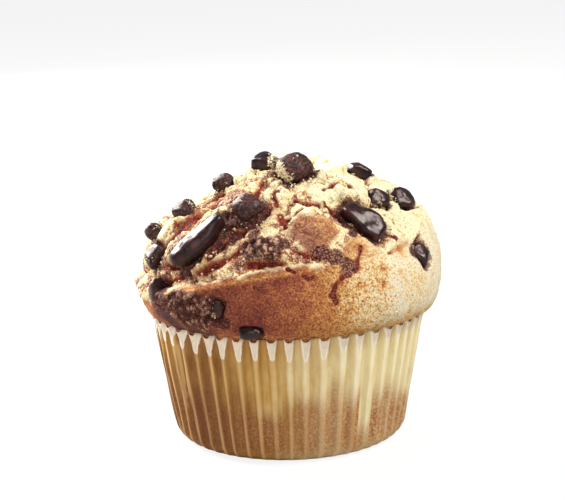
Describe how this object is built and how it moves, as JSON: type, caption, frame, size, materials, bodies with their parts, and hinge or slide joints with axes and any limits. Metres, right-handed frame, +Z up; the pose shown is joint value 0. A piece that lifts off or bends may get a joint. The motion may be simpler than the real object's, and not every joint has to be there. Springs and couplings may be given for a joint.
{
  "type": "chocolate chunk muffin in a paper case",
  "caption": "Domed muffin with a craggy browned crown and chocolate chunks, baked in a fluted paper case, resting on its flat foot.",
  "frame": {"origin": "centre of the paper case's flat foot, on the surface that the muffin stands on", "axes": "+Z up through the crown, -Y towards the side with the long chocolate piece at its upper left, +X to the right of that view"},
  "size_m": [0.0717, 0.0723, 0.0679],
  "materials": {
    "crumb": "baked cake, dry crumb with a browned crust",
    "paper": "translucent greaseproof paper, baked tan",
    "chocolate": "dark chocolate, half gloss, partly dusted with crumb"
  },
  "bodies": {
    "root": {"cake": "crumb", "paper_case": "paper", "chunk_01": "chocolate", "chunk_02": "chocolate", "chunk_03": "chocolate", "chunk_04": "chocolate", "chunk_05": "chocolate", "chunk_06": "chocolate", "chunk_07": "chocolate", "chunk_08": "chocolate", "chunk_09": "chocolate", "chunk_10": "chocolate", "chunk_11": "chocolate", "chunk_12": "chocolate", "chunk_13": "chocolate", "chunk_14": "chocolate", "chunk_15": "chocolate", "chunk_16": "chocolate", "chunk_17": "chocolate", "chunk_18": "chocolate", "chunk_19": "chocolate", "chunk_20": "chocolate", "chunk_21": "chocolate", "chunk_22": "chocolate", "chunk_23": "chocolate", "chunk_24": "chocolate"}
  },
  "joints": []
}
